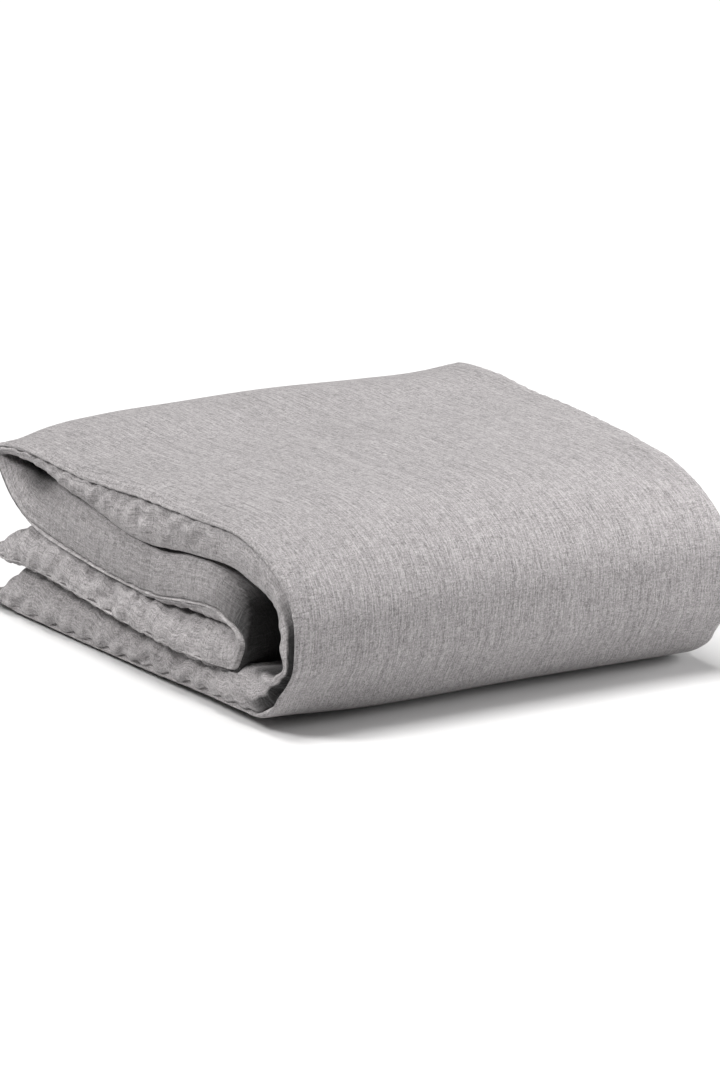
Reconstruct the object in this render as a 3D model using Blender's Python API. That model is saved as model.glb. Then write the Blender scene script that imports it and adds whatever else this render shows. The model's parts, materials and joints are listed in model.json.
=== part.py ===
"""Folded duvet: a linen cover with its duvet inside, folded twice into a stack of four layers.

Metres, +Z up. X runs across the stack and the big front bend is at +X. Y is the direction of the folds,
with the side seams at both Y ends. Z = 0 is the surface that the stack lies on.
Layers are counted from the top: first and second (the upper half), third and fourth (the lower half).
The face panel of the cover is outside in the last fold, and the back panel lies between the layers.
"""

import math

import bpy
import numpy as np

# ---- driving dimensions -------------------------------------------------------------------------
STACK_LENGTH = 0.572  # X, from the tip of the fourth layer to the front bend
STACK_WIDTH = 0.500  # Y, over the lips of both side seams
STACK_HEIGHT = 0.182  # Z

LAYER_THICKNESS = 0.0455  # one layer of cover, duvet and cover
BEND_REACH = 0.112  # how far the front bend stands out past the fold line
BEND_WALL = 0.036  # thickness of the front bend where it turns
NOSE_REACH = 0.028  # how far the inner bend stands out past the fold line
SLIT_REACH = 0.002  # depth of the slit inside the inner bend

BEAK_LENGTH = 0.088  # left fold, from where it starts to curve to its tip
BEAK_DROP = 0.033  # height of the top over the tip of the left fold
BEAK_SETBACK = 0.0125  # X, how far the tip of the left fold lies inside the stack's length
HOLLOW_LENGTH = 0.070  # the hollow inside the left fold
HOLLOW_HEIGHT = 0.015
HOLLOW_SLOPE = 0.115  # X length over which the first crease rises to the hollow

THIRD_TIP_SETBACK = 0.0125  # X, how far the third layer's tip lies inside the stack's length
THIRD_TIP_HEIGHT = 0.057
FOURTH_TIP_HEIGHT = 0.012
TIP_TAPER = 0.070  # X length over which a free end comes to its tip

EDGE_THICKNESS = 0.006  # a layer's thickness where its panels meet at an edge
EDGE_TAPER = 0.030  # Y length over which a layer thins to its side seam
SHOULDER_AT = 0.25  # the layer's shoulder, as a share of the taper's length from the seam
SHOULDER_FULL = 0.62  # how full the layer is there

COVER_FABRIC = 0.0008
CASING_FABRIC = 0.0005
CLEARANCE = 0.0003  # between touching pieces

SEAM_LIP = 0.006  # width of the sewn lip along an edge
SEAM_THICKNESS = 0.003
SEAM_AT_FRONT = 0.0  # where the side seam lies in a layer, from 0 at its face to 1 at its back
SEAM_AT_SECOND = 0.15
SEAM_AT_THIRD = 0.9
SEAM_AT_FOOT = 0.2
CORNER_POCKET = 0.010  # room between the duvet and the cover's end, where the corner ties are

TIE_LENGTH = 0.025
TIE_WIDTH = 0.006
TIE_THICKNESS = 0.0012

BUTTON_COUNT = 3
BUTTON_DIAMETER = 0.011
BUTTON_THICKNESS = 0.0022
BUTTON_HOLE = 0.0016
BUTTON_HOLE_PITCH = 0.0030
BUTTON_SPACING = 0.140
BUTTON_SETBACK = 0.018  # from the hem's edge to a button's centre

# ---- stations along a course --------------------------------------------------------------------
RUN_STEPS = 4  # a straight run
ARC_STEPS = 7  # a quarter turn of the left fold
TIP_STEPS = 5  # the taper to a free end
BEND_STEPS = 12  # a half turn about the fold line

# ---- sizes that follow --------------------------------------------------------------------------
HALF_LENGTH = STACK_LENGTH / 2
HALF_GAP = CLEARANCE / 2
FOLD_X = HALF_LENGTH - BEND_REACH  # the fold line, about which the upper half opens
FOLD_Z = STACK_HEIGHT / 2
FIRST_CREASE_Z = STACK_HEIGHT - LAYER_THICKNESS
THIRD_CREASE_Z = LAYER_THICKNESS
PANEL_HALF_WIDTH = STACK_WIDTH / 2 - SEAM_LIP - CLEARANCE
BEAK_X = -HALF_LENGTH + BEAK_SETBACK + BEAK_LENGTH  # where the left fold starts to curve
BEAK_TIP_Z = STACK_HEIGHT - BEAK_DROP
DEEP = COVER_FABRIC + CASING_FABRIC + 2 * CLEARANCE  # from a layer's outside to its filling

# ---- colours ------------------------------------------------------------------------------------
COLOURS = {
    "linen": (0.42, 0.40, 0.40, 1.0),
    "cotton_casing": (0.82, 0.81, 0.78, 1.0),
    "filling": (0.90, 0.89, 0.86, 1.0),
    "seam_linen": (0.38, 0.36, 0.36, 1.0),
    "cotton_tape": (0.78, 0.76, 0.72, 1.0),
    "button": (0.46, 0.40, 0.34, 1.0),
}
ROUGHNESS = {
    "linen": 0.92,
    "cotton_casing": 0.88,
    "filling": 0.95,
    "seam_linen": 0.92,
    "cotton_tape": 0.90,
    "button": 0.45,
}


def clear_scene():
    for thing in list(bpy.data.objects):
        bpy.data.objects.remove(thing, do_unlink=True)


def material(kind):
    """The Principled material of one kind of cloth or trim, made once."""
    found = bpy.data.materials.get(kind)
    if found:
        return found
    made = bpy.data.materials.new(kind)
    made.use_nodes = True
    shader = made.node_tree.nodes["Principled BSDF"]
    shader.inputs["Base Color"].default_value = COLOURS[kind]
    shader.inputs["Roughness"].default_value = ROUGHNESS[kind]
    shader.inputs["Metallic"].default_value = 0.0
    return made


def add_object(name, points, faces, kind):
    mesh = bpy.data.meshes.new(name)
    mesh.from_pydata([tuple(map(float, p)) for p in points], [], faces)
    mesh.update()
    mesh.materials.append(material(kind))
    for polygon in mesh.polygons:
        polygon.use_smooth = True
    thing = bpy.data.objects.new(name, mesh)
    bpy.context.collection.objects.link(thing)
    return thing


def signed_volume(points, faces):
    """Volume inside the faces: negative where they point inwards."""
    total = 0.0
    for face in faces:
        first = points[face[0]]
        for second, third in zip(face[1:-1], face[2:]):
            total += np.dot(first, np.cross(points[second], points[third])) / 6
    return total


def slab(name, low, high, kind):
    """A closed body between two grids of points, low[i][j] and high[i][j].

    Every grid is cut into triangles along the same diagonals, so that sheets that lie on each other fit."""
    low = np.asarray(low, float)
    high = np.asarray(high, float)
    rows, columns = low.shape[:2]
    points = np.concatenate([low.reshape(-1, 3), high.reshape(-1, 3)])

    def at(side, i, j):
        return side * rows * columns + i * columns + j

    faces = []
    for i in range(rows - 1):
        for j in range(columns - 1):
            faces.append((at(0, i, j), at(0, i, j + 1), at(0, i + 1, j + 1)))
            faces.append((at(0, i, j), at(0, i + 1, j + 1), at(0, i + 1, j)))
            faces.append((at(1, i, j), at(1, i + 1, j + 1), at(1, i, j + 1)))
            faces.append((at(1, i, j), at(1, i + 1, j), at(1, i + 1, j + 1)))
    for i in range(rows - 1):
        faces.append((at(0, i, 0), at(0, i + 1, 0), at(1, i + 1, 0), at(1, i, 0)))
        last = columns - 1
        faces.append((at(0, i + 1, last), at(0, i, last), at(1, i, last), at(1, i + 1, last)))
    for j in range(columns - 1):
        faces.append((at(0, 0, j + 1), at(0, 0, j), at(1, 0, j), at(1, 0, j + 1)))
        last = rows - 1
        faces.append((at(0, last, j), at(0, last, j + 1), at(1, last, j + 1), at(1, last, j)))
    if signed_volume(points, faces) < 0:
        faces = [tuple(reversed(face)) for face in faces]
    return add_object(name, points, faces, kind)


# ---- the course of each layer -------------------------------------------------------------------
# A course is two equally long lists of (x, z) points: the face panel's outside and the back panel's
# outside. seam_side says where the side seam lies between them, from 0, face, to 1, back.


def straight(start, end, steps):
    """Points from start to end, both included."""
    return [tuple(np.array(start) + (np.array(end) - np.array(start)) * k / steps) for k in range(steps + 1)]


def elliptic(centre, reach, rise, angles):
    """Points of an elliptic arc round centre, at angles in degrees from +X towards +Z."""
    made = []
    for angle in np.radians(angles):
        made.append((centre[0] + reach * math.cos(angle), centre[1] + rise * math.sin(angle)))
    return made


def upper_course():
    """First layer from the fold line to the left, round the left fold, and second layer back."""
    end = FOLD_X - HALF_GAP
    bottom = FOLD_Z + HALF_GAP
    hollow_end = BEAK_X - (BEAK_LENGTH - HOLLOW_LENGTH) / 2
    face = straight((end, STACK_HEIGHT), (BEAK_X, STACK_HEIGHT), RUN_STEPS)
    above = np.linspace(90, 180, ARC_STEPS + 1)[1:]
    face += elliptic((BEAK_X, BEAK_TIP_Z), BEAK_LENGTH, BEAK_DROP, above)
    face += elliptic((BEAK_X, BEAK_TIP_Z), BEAK_LENGTH, BEAK_TIP_Z - bottom, above + 90)
    face += straight((BEAK_X, bottom), (end, bottom), RUN_STEPS)[1:]

    def crease(x):
        """Height of the first crease, which rises to the hollow of the left fold."""
        share = min(1.0, max(0.0, (hollow_end + HOLLOW_SLOPE - x) / HOLLOW_SLOPE))
        return FIRST_CREASE_Z + (BEAK_TIP_Z - FIRST_CREASE_Z) * share

    top = [(x, crease(x) + HALF_GAP) for x, _ in straight((end, 0), (hollow_end, 0), RUN_STEPS)]
    hollow = []
    for k in range(1, ARC_STEPS + 1):
        share = k / ARC_STEPS
        half = HOLLOW_HEIGHT / 2 * math.sin(math.pi * share) + HALF_GAP
        hollow.append((hollow_end - HOLLOW_LENGTH * share, half))
    turn = [(x, BEAK_TIP_Z + half) for x, half in hollow[:-1]]
    turn.append((hollow[-1][0], BEAK_TIP_Z))
    turn += [(x, BEAK_TIP_Z - half) for x, half in reversed(hollow[:-1])]
    low = [(x, crease(x) - HALF_GAP) for x, _ in straight((hollow_end, 0), (end, 0), RUN_STEPS)]
    return face, top + turn + low


def seam_sides(first, last, count):
    """Where the side seam lies at each station, changing evenly along the course."""
    return [first + (last - first) * k / (count - 1) for k in range(count)]


def tip_course(outside, inside, tip, face_on_top):
    """A lower layer from its free tip to the fold line. outside and inside are its face and back heights."""
    end = FOLD_X - HALF_GAP
    start = tip[0] + SEAM_LIP + CLEARANCE
    half = EDGE_THICKNESS / 2 if face_on_top else -EDGE_THICKNESS / 2
    centre = start + TIP_TAPER
    pocket_angle = 180 - math.degrees(math.acos(1 - CORNER_POCKET / TIP_TAPER))
    angles = [180, *np.linspace(pocket_angle, 90, TIP_STEPS)]
    face = elliptic((centre, tip[1] + half), TIP_TAPER, outside - tip[1] - half, angles)
    back = elliptic((centre, tip[1] - half), TIP_TAPER, inside - tip[1] + half, angles)
    face += straight((start + TIP_TAPER, outside), (end, outside), RUN_STEPS)[1:]
    back += straight((start + TIP_TAPER, inside), (end, inside), RUN_STEPS)[1:]
    return face, back


def third_course():
    tip = (-HALF_LENGTH + THIRD_TIP_SETBACK, THIRD_TIP_HEIGHT)
    return tip_course(FOLD_Z - HALF_GAP, THIRD_CREASE_Z + HALF_GAP, tip, True)


def fourth_course():
    tip = (-HALF_LENGTH, FOURTH_TIP_HEIGHT)
    return tip_course(0.0, THIRD_CREASE_Z - HALF_GAP, tip, False)


def bend_course(face_reach, face_rise, back_reach, back_rise):
    """A half turn about the fold line, from the upper half to the lower half."""
    centre = (FOLD_X + HALF_GAP, FOLD_Z)
    angles = np.linspace(90, -90, BEND_STEPS + 1)
    face = elliptic(centre, face_reach, face_rise, angles)
    back = elliptic(centre, back_reach, back_rise, angles)
    return face, back


def front_bend_course():
    back_rise = FIRST_CREASE_Z + HALF_GAP - FOLD_Z
    return bend_course(BEND_REACH - HALF_GAP, FOLD_Z, BEND_REACH - BEND_WALL, back_rise)


def inner_bend_course():
    back_rise = FIRST_CREASE_Z - HALF_GAP - FOLD_Z
    return bend_course(SLIT_REACH, HALF_GAP, NOSE_REACH, back_rise)


# ---- pieces of a layer --------------------------------------------------------------------------


def across():
    """Y stations of a panel and how full the layer is at each, from 0 at the seam to 1 inside."""
    half = PANEL_HALF_WIDTH
    stations = [
        (half, 0.0),
        (half - EDGE_TAPER * SHOULDER_AT, SHOULDER_FULL),
        (half - EDGE_TAPER, 1.0),
    ]
    return [(-y, full) for y, full in stations] + [(y, full) for y, full in reversed(stations)]


def layer_sides(course, seam_side):
    """Functions of (i, full) that give the layer's face point, its direction through and its thickness."""
    face = np.array(course[0], float)
    back = np.array(course[1], float)
    through = back - face
    thickness = np.linalg.norm(through, axis=1)
    direction = through / thickness[:, None]

    def section(i, full):
        left = EDGE_THICKNESS + (thickness[i] - EDGE_THICKNESS) * full
        start = face[i] + direction[i] * (thickness[i] - left) * seam_side[i]
        return start, direction[i], left

    return section


def sheet_grid(section, first, count, depth, from_back):
    """Grid of points at a depth into the layer, measured from its face or from its back."""
    grid = []
    for i in range(first, count):
        row = []
        for y, full in across():
            start, direction, left = section(i, full)
            x, z = start + direction * (left - depth if from_back else depth)
            row.append((x, y, z))
        grid.append(row)
    return grid


def side_seam(name, section, count, near):
    """The sewn lip that closes the cover along one side, standing out past the panels' edges."""
    inside = PANEL_HALF_WIDTH + CLEARANCE
    outside = inside + SEAM_LIP
    low = []
    high = []
    for i in range(count):
        start, direction, left = section(i, 0.0)
        for grid, depth in ((low, (left - SEAM_THICKNESS) / 2), (high, (left + SEAM_THICKNESS) / 2)):
            x, z = start + direction * depth
            side = -1 if near else 1
            grid.append([(x, side * inside, z), (x, side * outside, z)])
    slab(name, low, high, "seam_linen")


def layer(label, course, seam_side, free_end=False):
    """Cover panels, casing panels, filling and side seams of one stretch of the folded duvet."""
    count = len(course[0])
    section = layer_sides(course, seam_side)

    first = 1 if free_end else 0  # at a free end the duvet starts one station in, past the corner pocket

    def sheet(name, near_depth, far_depth, from_back, kind, start):
        low = sheet_grid(section, start, count, near_depth, from_back)
        high = sheet_grid(section, start, count, far_depth, from_back)
        slab(name, low, high, kind)

    sheet(f"{label}_cover_face", 0.0, COVER_FABRIC, False, "linen", 0)
    sheet(f"{label}_cover_back", 0.0, COVER_FABRIC, True, "linen", 0)
    casing_top = COVER_FABRIC + CLEARANCE
    casing_bottom = casing_top + CASING_FABRIC
    sheet(f"{label}_casing_face", casing_top, casing_bottom, False, "cotton_casing", first)
    sheet(f"{label}_casing_back", casing_top, casing_bottom, True, "cotton_casing", first)
    low = sheet_grid(section, first, count, DEEP, False)
    high = sheet_grid(section, first, count, DEEP, True)
    slab(f"{label}_filling", low, high, "filling")
    side_seam(f"{label}_near_seam", section, count, True)
    side_seam(f"{label}_far_seam", section, count, False)
    return section


# ---- free ends ----------------------------------------------------------------------------------


def end_lip(name, section):
    """The sewn or hemmed lip along a layer's free end, from one side of the stack to the other."""
    start, direction, left = section(0, 0.0)
    centre = start + direction * left / 2
    half = SEAM_THICKNESS / 2
    half_width = PANEL_HALF_WIDTH
    low = []
    high = []
    for x in (centre[0] - CLEARANCE - SEAM_LIP, centre[0] - CLEARANCE):
        low.append([(x, -half_width, centre[1] - half), (x, half_width, centre[1] - half)])
        high.append([(x, -half_width, centre[1] + half), (x, half_width, centre[1] + half)])
    slab(name, low, high, "seam_linen")


def corner_ties(label, section):
    """Two tapes inside a free end, which hold the duvet's corners in the cover."""
    start, direction, left = section(0, 0.0)
    centre = start + direction * left / 2
    half = TIE_THICKNESS / 2
    x_low = centre[0] + CLEARANCE
    for side, word in ((-1, "near"), (1, "far")):
        middle = side * (PANEL_HALF_WIDTH - TIE_LENGTH)
        low = []
        high = []
        for x in (x_low, x_low + TIE_WIDTH):
            ends = (middle - TIE_LENGTH / 2, middle + TIE_LENGTH / 2)
            low.append([(x, y, centre[1] - half) for y in ends])
            high.append([(x, y, centre[1] + half) for y in ends])
        slab(f"{label}_corner_tie_{word}", low, high, "cotton_tape")


def button_mesh(radius, thickness):
    """A round disc about +Z with four sewing holes."""
    disc_sides = 24
    hole_sides = 6
    hole = BUTTON_HOLE / 2
    pitch = BUTTON_HOLE_PITCH / 2
    bpy.ops.mesh.primitive_cylinder_add(vertices=disc_sides, radius=radius, depth=thickness)
    disc = bpy.context.active_object
    for sx in (-1, 1):
        for sy in (-1, 1):
            place = (sx * pitch, sy * pitch, 0)
            bpy.ops.mesh.primitive_cylinder_add(
                vertices=hole_sides, radius=hole, depth=3 * thickness, location=place
            )
            cutter = bpy.context.active_object
            cutting = disc.modifiers.new("hole", "BOOLEAN")
            cutting.operation = "DIFFERENCE"
            cutting.solver = "EXACT"
            cutting.object = cutter
            bpy.context.view_layer.objects.active = disc
            bpy.ops.object.modifier_apply(modifier=cutting.name)
            bpy.data.objects.remove(cutter, do_unlink=True)
    mesh = disc.data
    bpy.data.objects.remove(disc, do_unlink=True)
    mesh.materials.clear()
    mesh.materials.append(material("button"))
    return mesh


def buttons(section, course):
    """A row of buttons on the back panel beside the hem of the fourth layer."""
    mesh = button_mesh(BUTTON_DIAMETER / 2, BUTTON_THICKNESS)
    back = course[1]
    first = back[0]
    target = first[0] + BUTTON_SETBACK
    for here, there in zip(back[:-1], back[1:]):
        if here[0] <= target <= there[0]:
            break
    along = np.array([there[0] - here[0], there[1] - here[1]])
    along /= np.linalg.norm(along)
    share = (target - here[0]) / (there[0] - here[0])
    on = np.array(here) + (np.array(there) - np.array(here)) * share
    normal = np.array([-along[1], along[0]])
    centre = on + normal * (BUTTON_THICKNESS / 2 + CLEARANCE)
    tilt = -math.atan2(along[1], along[0])
    for k in range(BUTTON_COUNT):
        thing = bpy.data.objects.new(f"button_{k + 1}", mesh.copy())
        thing.location = (centre[0], (k - (BUTTON_COUNT - 1) / 2) * BUTTON_SPACING, centre[1])
        thing.rotation_euler = (0.0, tilt, 0.0)
        bpy.context.collection.objects.link(thing)
    bpy.data.meshes.remove(mesh)


def build():
    clear_scene()

    course = upper_course()
    layer("upper", course, seam_sides(SEAM_AT_FRONT, SEAM_AT_SECOND, len(course[0])))

    course = third_course()
    third = layer("third", course, [SEAM_AT_THIRD] * len(course[0]), free_end=True)
    end_lip("head_end_seam", third)
    corner_ties("head", third)

    course = fourth_course()
    fourth = layer("fourth", course, seam_sides(SEAM_AT_FOOT, SEAM_AT_FRONT, len(course[0])), free_end=True)
    end_lip("foot_end_hem", fourth)
    corner_ties("foot", fourth)
    buttons(fourth, course)

    course = front_bend_course()
    layer("front_bend", course, [SEAM_AT_FRONT] * len(course[0]))

    course = inner_bend_course()
    layer("inner_bend", course, seam_sides(SEAM_AT_SECOND, SEAM_AT_THIRD, len(course[0])))


build()
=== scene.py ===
"""Folded duvet in a washed linen cover: the looks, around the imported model.

The cover is two panels, face and back, that follow one folded course and meet at the side seams. The course
runs from the third layer's tip to the fold line, round the inner bend, along the second layer, round the left
fold, along the first layer, round the front bend and along the fourth layer to its tip.
"""
import json
import math

import bpy
import numpy as np
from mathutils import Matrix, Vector


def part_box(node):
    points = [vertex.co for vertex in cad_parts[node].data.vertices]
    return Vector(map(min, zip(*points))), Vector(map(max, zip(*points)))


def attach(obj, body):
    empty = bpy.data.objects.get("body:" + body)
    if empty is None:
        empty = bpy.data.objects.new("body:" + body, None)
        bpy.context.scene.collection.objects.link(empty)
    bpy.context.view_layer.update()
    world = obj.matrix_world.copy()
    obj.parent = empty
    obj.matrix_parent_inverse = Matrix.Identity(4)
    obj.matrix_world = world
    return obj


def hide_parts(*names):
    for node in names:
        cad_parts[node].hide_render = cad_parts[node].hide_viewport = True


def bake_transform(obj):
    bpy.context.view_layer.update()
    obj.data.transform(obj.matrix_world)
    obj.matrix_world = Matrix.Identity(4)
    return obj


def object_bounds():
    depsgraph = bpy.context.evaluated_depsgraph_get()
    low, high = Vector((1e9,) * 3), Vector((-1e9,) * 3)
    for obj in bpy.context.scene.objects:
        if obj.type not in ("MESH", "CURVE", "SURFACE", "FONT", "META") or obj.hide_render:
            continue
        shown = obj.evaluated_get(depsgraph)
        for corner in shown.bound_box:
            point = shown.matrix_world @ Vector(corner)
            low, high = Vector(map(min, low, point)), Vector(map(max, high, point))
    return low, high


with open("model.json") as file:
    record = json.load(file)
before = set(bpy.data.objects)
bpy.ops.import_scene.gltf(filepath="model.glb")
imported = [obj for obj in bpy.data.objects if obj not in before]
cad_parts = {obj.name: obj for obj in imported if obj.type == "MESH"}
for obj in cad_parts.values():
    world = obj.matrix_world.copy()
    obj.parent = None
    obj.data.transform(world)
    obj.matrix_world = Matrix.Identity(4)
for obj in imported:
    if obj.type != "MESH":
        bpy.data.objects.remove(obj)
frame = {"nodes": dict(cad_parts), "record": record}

cad_box = [list(map(float, corner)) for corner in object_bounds()]
CAD_LOW, CAD_HIGH = np.array(cad_box[0]), np.array(cad_box[1])
FOLD_X, _, FOLD_Z = frame["record"]["behaviour"]["joints"][0]["pos_m"]
LAYERS = ("upper", "third", "fourth", "front_bend", "inner_bend")

# ---- the course, in millimetres: X from the fold line, Z from the floor ----------------------------------
# Each station gives the face panel, the side seam and the back panel as (X, Z) pairs. The last five numbers
# shape the end wall: how far the seam stands out, how far the face wall stands out and turns in, and the same
# for the back wall.
THIRD_LAYER = [
    ((-447, 59), (-447, 57), (-447, 55), (5, 1, 2, 1, 2)),
    ((-434, 69), (-433, 55), (-433, 52), (5, 4, 6, 1, 5)),
    ((-412, 82), (-415, 54), (-413, 50), (5, 6, 10, 1, 8)),
    ((-378, 94), (-380, 59), (-380, 52), (7, 7, 13, 2, 10)),
    ((-307, 90), (-307, 57), (-307, 51), (8, 6, 14, 2, 10)),
    ((-212, 82), (-212, 51), (-212, 46), (8, 6, 14, 2, 10)),
    ((-111, 78), (-111, 47), (-111, 42), (7, 6, 14, 2, 10)),
    ((-48, 83), (-48, 46), (-46, 41), (3, 8, 14, 2, 10)),
]
INNER_BEND = [
    ((-14, 84), (-16, 47), (-10, 43), (-1, 8, 14, 2, 10)),
    ((-6, 85), (4, 51), (6, 48), (0, 5, 13, 1, 5)),
    ((-3, 86), (15, 65), (17, 64), (1, 2, 12, 0, 3)),
    ((-2, 87), (20, 78), (23, 80), (1, 2, 12, 0, 3)),
    ((-4, 88), (11, 88), (22, 106), (0, 3, 11, 1, 8)),
    ((-10, 88), (-6, 93), (8, 127), (-1, 3, 10, 2, 9)),
]
SECOND_LAYER = [
    ((-36, 86), (-36, 100), (-30, 139), (-1, 3, 8, 5, 3)),
    ((-85, 84), (-85, 95), (-85, 138), (-1, 3, 8, 5, 3)),
    ((-142, 79), (-142, 86), (-142, 129), (-1, 3, 8, 5, 3)),
    ((-218, 82), (-218, 85), (-218, 133), (-1, 2, 7, 5, 3)),
    ((-290, 88), (-290, 89.5), (-290, 142), (0, 2, 7, 4, 9)),
    ((-349, 93), (-349, 95), (-345, 146), (1, 2, 6, 1, 24)),
]
LEFT_FOLD = [
    ((-378, 98), (-378, 100), (-374, 143), (1, 1, 6, 1, 26)),
    ((-397, 104), (-397, 106), (-392, 142), (1, 1, 5, 1, 22)),
    ((-420, 117), (-418, 119), (-410, 143), (1, 1, 5, 1, 14)),
    ((-440, 137), (-437, 138), (-427, 145), (1, 1, 5, 1, 7)),
    ((-448, 151), (-446, 151), (-439, 150), (1, 1, 6, 1, 4)),
    ((-438, 163), (-436, 160), (-428, 154), (1, 1, 9, 2, 5)),
    ((-397, 171), (-397, 165), (-392, 157), (0, 2, 12, 4, 7)),
]
FIRST_LAYER = [
    ((-349, 174), (-349, 166), (-345, 153), (-3, 4, 12, 5, 3)),
    ((-282, 174), (-282, 165), (-285, 143), (-3, 4, 12, 5, 3)),
    ((-175, 181), (-175, 172), (-175, 130), (-3, 4, 12, 5, 3)),
    ((-62, 186), (-62, 177), (-65, 141), (-3, 4, 12, 5, 3)),
    ((-6, 187), (-6, 180), (-6, 146), (-3, 4, 11, 5, 3)),
]
FRONT_BEND = [
    ((27, 183), (25, 177), (27, 139), (-3, 4, 9, 5, 5)),
    ((61, 173), (58, 167), (56, 131), (-4, 5, 8, 5, 5)),
    ((95, 150), (92, 147), (74, 120), (-6, 7, 7, 6, 5)),
    ((111, 124), (108, 122), (80, 102), (-8, 8, 6, 8, 6)),
    ((113, 95), (111, 94), (85, 86), (-11, 10, 6, 10, 5)),
    ((110, 73), (108, 74), (80, 68), (-12, 11, 6, 10, 5)),
    ((99, 54), (97, 56), (70, 56), (-12, 11, 6, 10, 5)),
    ((85, 37), (83, 40), (54, 51), (-11, 10, 6, 10, 5)),
    ((70, 20), (69, 24), (36, 51), (-7, 8, 6, 8, 8)),
    ((46, 7), (46, 13), (20, 50), (-2, 3, 7, 6, 10)),
    ((14, 2), (14, 11), (2, 47), (-2, 2, 14, 8, 12)),
]
FOURTH_LAYER = [
    ((-69, 0.5), (-69, 10), (-70, 38), (-3, 2, 16, 8, 16)),
    ((-146, 0.5), (-146, 9), (-146, 38), (-3, 2, 16, 8, 16)),
    ((-246, 0.5), (-246, 9), (-246, 42), (-3, 2, 16, 8, 16)),
    ((-341, 1), (-341, 9.5), (-341, 46), (0, 3, 8, 8, 16)),
    ((-395, 2.5), (-395, 9.5), (-395, 48), (3, 2, 6, 8, 12)),
    ((-417, 5), (-417, 10), (-417, 36), (6, 1, 4, 6, 9)),
    ((-438, 8), (-438, 10), (-438, 20), (8, 1, 3, 3, 5)),
    ((-460, 10), (-460, 11.5), (-460, 13), (7, 1, 2, 1, 2)),
]
COURSE = THIRD_LAYER + INNER_BEND + SECOND_LAYER + LEFT_FOLD + FIRST_LAYER + FRONT_BEND + FOURTH_LAYER
# How far the drawn course reaches past the fold line, where its free end is, and how high it stands.
DRAWN_REACH, DRAWN_TIP, DRAWN_HEIGHT = 112.0, -460.0, 182.0

# The cloth is a grid: one row of points for each STEP along the course, and in each row WALL_ROWS points on
# either end wall, with points between the walls at INNER_SHARES of the way across.
STEP = 0.004
NEAR_Y, FAR_Y_FRONT, FAR_Y_LEFT = -0.245, 0.230, 0.264
FULL_WIDTH = 0.515
WALL_ROWS = 20
WALL_BIAS = 1.25
SEAM_GAP = 0.0015
INNER_SHARES = np.concatenate([[0.012, 0.026, 0.044, 0.066, 0.092], np.linspace(0.12, 0.88, 39),
                               [0.908, 0.934, 0.956, 0.974, 0.988]])


def to_frame(points):
    """Millimetres from the fold line and the floor, to the frame's metres."""
    x, z = points[:, 0], points[:, 1]
    ahead = (CAD_HIGH[0] - FOLD_X) / DRAWN_REACH
    behind = (CAD_LOW[0] - FOLD_X) / DRAWN_TIP
    x = np.where(x > 0, x * ahead, x * behind) + FOLD_X
    return np.stack([x, z * CAD_HIGH[2] / DRAWN_HEIGHT], axis=1)


def smooth_course(points, at, here):
    """Cubic Hermite curve through points, whose parameters are at, read at the parameters here."""
    slopes = np.empty_like(points)
    slopes[1:-1] = (points[2:] - points[:-2]) / (at[2:] - at[:-2])[:, None]
    slopes[0] = (points[1] - points[0]) / (at[1] - at[0])
    slopes[-1] = (points[-1] - points[-2]) / (at[-1] - at[-2])
    k = np.clip(np.searchsorted(at, here, side="right") - 1, 0, len(at) - 2)
    span = (at[k + 1] - at[k])[:, None]
    t = (here - at[k])[:, None] / span
    return (
        (2 * t**3 - 3 * t**2 + 1) * points[k]
        + (t**3 - 2 * t**2 + t) * span * slopes[k]
        + (3 * t**2 - 2 * t**3) * points[k + 1]
        + (t**3 - t**2) * span * slopes[k + 1]
    )


def smoothstep(low, high, value):
    t = np.clip((value - low) / (high - low), 0, 1)
    return t * t * (3 - 2 * t)


def hump(value, middle, reach):
    return np.exp(-(((value - middle) / reach) ** 2))


def cubic_weights(w):
    return [
        0.5 * (-w + 2 * w**2 - w**3),
        0.5 * (2 - 5 * w**2 + 3 * w**3),
        0.5 * (w + 4 * w**2 - 3 * w**3),
        0.5 * (-(w**2) + w**3),
    ]


def noise(x, y, wave_x, wave_y, seed):
    """Smooth noise over a grid of points, about -1 to 1, whose features are about one wave long."""
    rng = np.random.default_rng(seed)
    u, v = x / wave_x, y / wave_y
    u, v = u - u.min(), v - v.min()
    knots = rng.uniform(-1, 1, (int(u.max()) + 5, int(v.max()) + 5))
    i, j = np.floor(u).astype(int), np.floor(v).astype(int)
    total = 0
    for a, weight_a in enumerate(cubic_weights(u - i)):
        for b, weight_b in enumerate(cubic_weights(v - j)):
            total = total + weight_a * weight_b * knots[i + a, j + b]
    return total


def sample_course():
    """The face, seam and back lines and the wall shape, sampled evenly, with what depends on them."""
    lines = [to_frame(np.array([station[k] for station in COURSE], float)) for k in range(3)]
    steps = np.max([np.linalg.norm(np.diff(line, axis=0), axis=1) for line in lines], axis=0)
    at = np.concatenate([[0], np.cumsum(steps)])
    count = int(at[-1] / STEP) + 1
    here = np.linspace(0, at[-1], count)
    made = {name: smooth_course(line, at, here) for name, line in zip(("face", "seam", "back"), lines)}
    shape = np.array([station[3] for station in COURSE], float) / 1000
    shape = np.stack([np.interp(here, at, column) for column in shape.T], axis=1)
    names = ("seam_out", "face_out", "face_in", "back_out", "back_in")
    made.update(zip(names, shape.T))
    made["count"] = count
    made["station"] = np.interp(here, at, np.arange(len(at)))
    return made


course = sample_course()


def within(low, high, soft=1.0):
    """1 between two stations and 0 outside them, with soft ends."""
    station = course["station"]
    return smoothstep(low - soft, low + soft, station) * (1 - smoothstep(high - soft, high + soft, station))


# The stations between which the back panel stands out as a strip beside the front bend's seam.
BEND_STRIP = (33, 40)


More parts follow.
